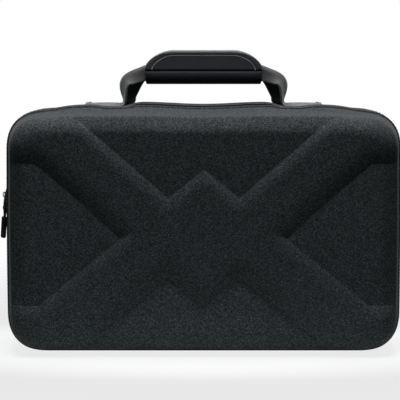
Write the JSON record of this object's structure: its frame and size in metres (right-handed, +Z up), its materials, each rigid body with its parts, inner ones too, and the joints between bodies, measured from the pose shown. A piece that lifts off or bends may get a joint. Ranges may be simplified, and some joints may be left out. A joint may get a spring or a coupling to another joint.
{
  "type": "console carrying bag",
  "caption": "Zipped hard-shell carrying bag for a game console, with raised cross ribs on the front, a padded top handle and a front that swings down on a cloth hinge.",
  "frame": {"origin": "on the floor, in the middle of the footprint, which is on the flat bottom of the rear half", "axes": "+X to the right along the width, +Y to the back, +Z up; the ribbed front faces -Y"},
  "size_m": [0.4571, 0.17, 0.343],
  "materials": {
    "shell_cloth": "fine woven cloth over pressed foam",
    "zip_tape": "woven tape",
    "zip_teeth": "nylon coil",
    "slider_metal": "black enamelled casting",
    "pull_moulding": "smooth moulding",
    "webbing": "ribbed webbing",
    "grip_cloth": "padded smooth cloth",
    "binding_tape": "ribbed edge tape",
    "elastic": "elastic tape",
    "net": "open net"
  },
  "bodies": {
    "base": {"rear_shell": "shell_cloth", "rear_zip_tape": "zip_tape", "rear_zip_teeth": "zip_teeth", "hinge_strip": "zip_tape", "handle_webbing": "webbing", "grip_pad": "grip_cloth", "grip_binding": "binding_tape", "left_console_strap": "elastic", "right_console_strap": "elastic"},
    "lid": {"front_shell": "shell_cloth", "front_zip_tape": "zip_tape", "front_zip_teeth": "zip_teeth", "net_pocket": "net", "pocket_hem": "elastic"},
    "upper_slider": {"upper_slider": "slider_metal"},
    "lower_slider": {"lower_slider": "slider_metal"},
    "upper_pull": {"upper_pull_link": "slider_metal", "upper_pull_tab": "pull_moulding"},
    "lower_pull": {"lower_pull_link": "slider_metal", "lower_pull_tab": "pull_moulding"}
  },
  "joints": [
    {"name": "lid_hinge", "type": "hinge", "parent": "base", "child": "lid", "pos_m": [0, -0.015, 0], "axis": [1, 0, 0], "range_deg": [0, 170], "deforming": ["hinge_strip"]},
    {"name": "upper_slider_run", "type": "slide", "parent": "base", "child": "upper_slider", "axis": [0, 0, 1], "range_m": [0, 0.0495]},
    {"name": "lower_slider_run", "type": "slide", "parent": "base", "child": "lower_slider", "axis": [0, 0, -1], "range_m": [0, 0.1]},
    {"name": "upper_pull_swing", "type": "hinge", "parent": "upper_slider", "child": "upper_pull", "pos_m": [-0.2282, -0.015, 0.1785], "axis": [0, 0.7431, 0.6691], "range_deg": [0, 140]},
    {"name": "lower_pull_swing", "type": "hinge", "parent": "lower_slider", "child": "lower_pull", "pos_m": [-0.2282, -0.015, 0.1635], "axis": [0, 1, 0], "range_deg": [0, 110]}
  ]
}
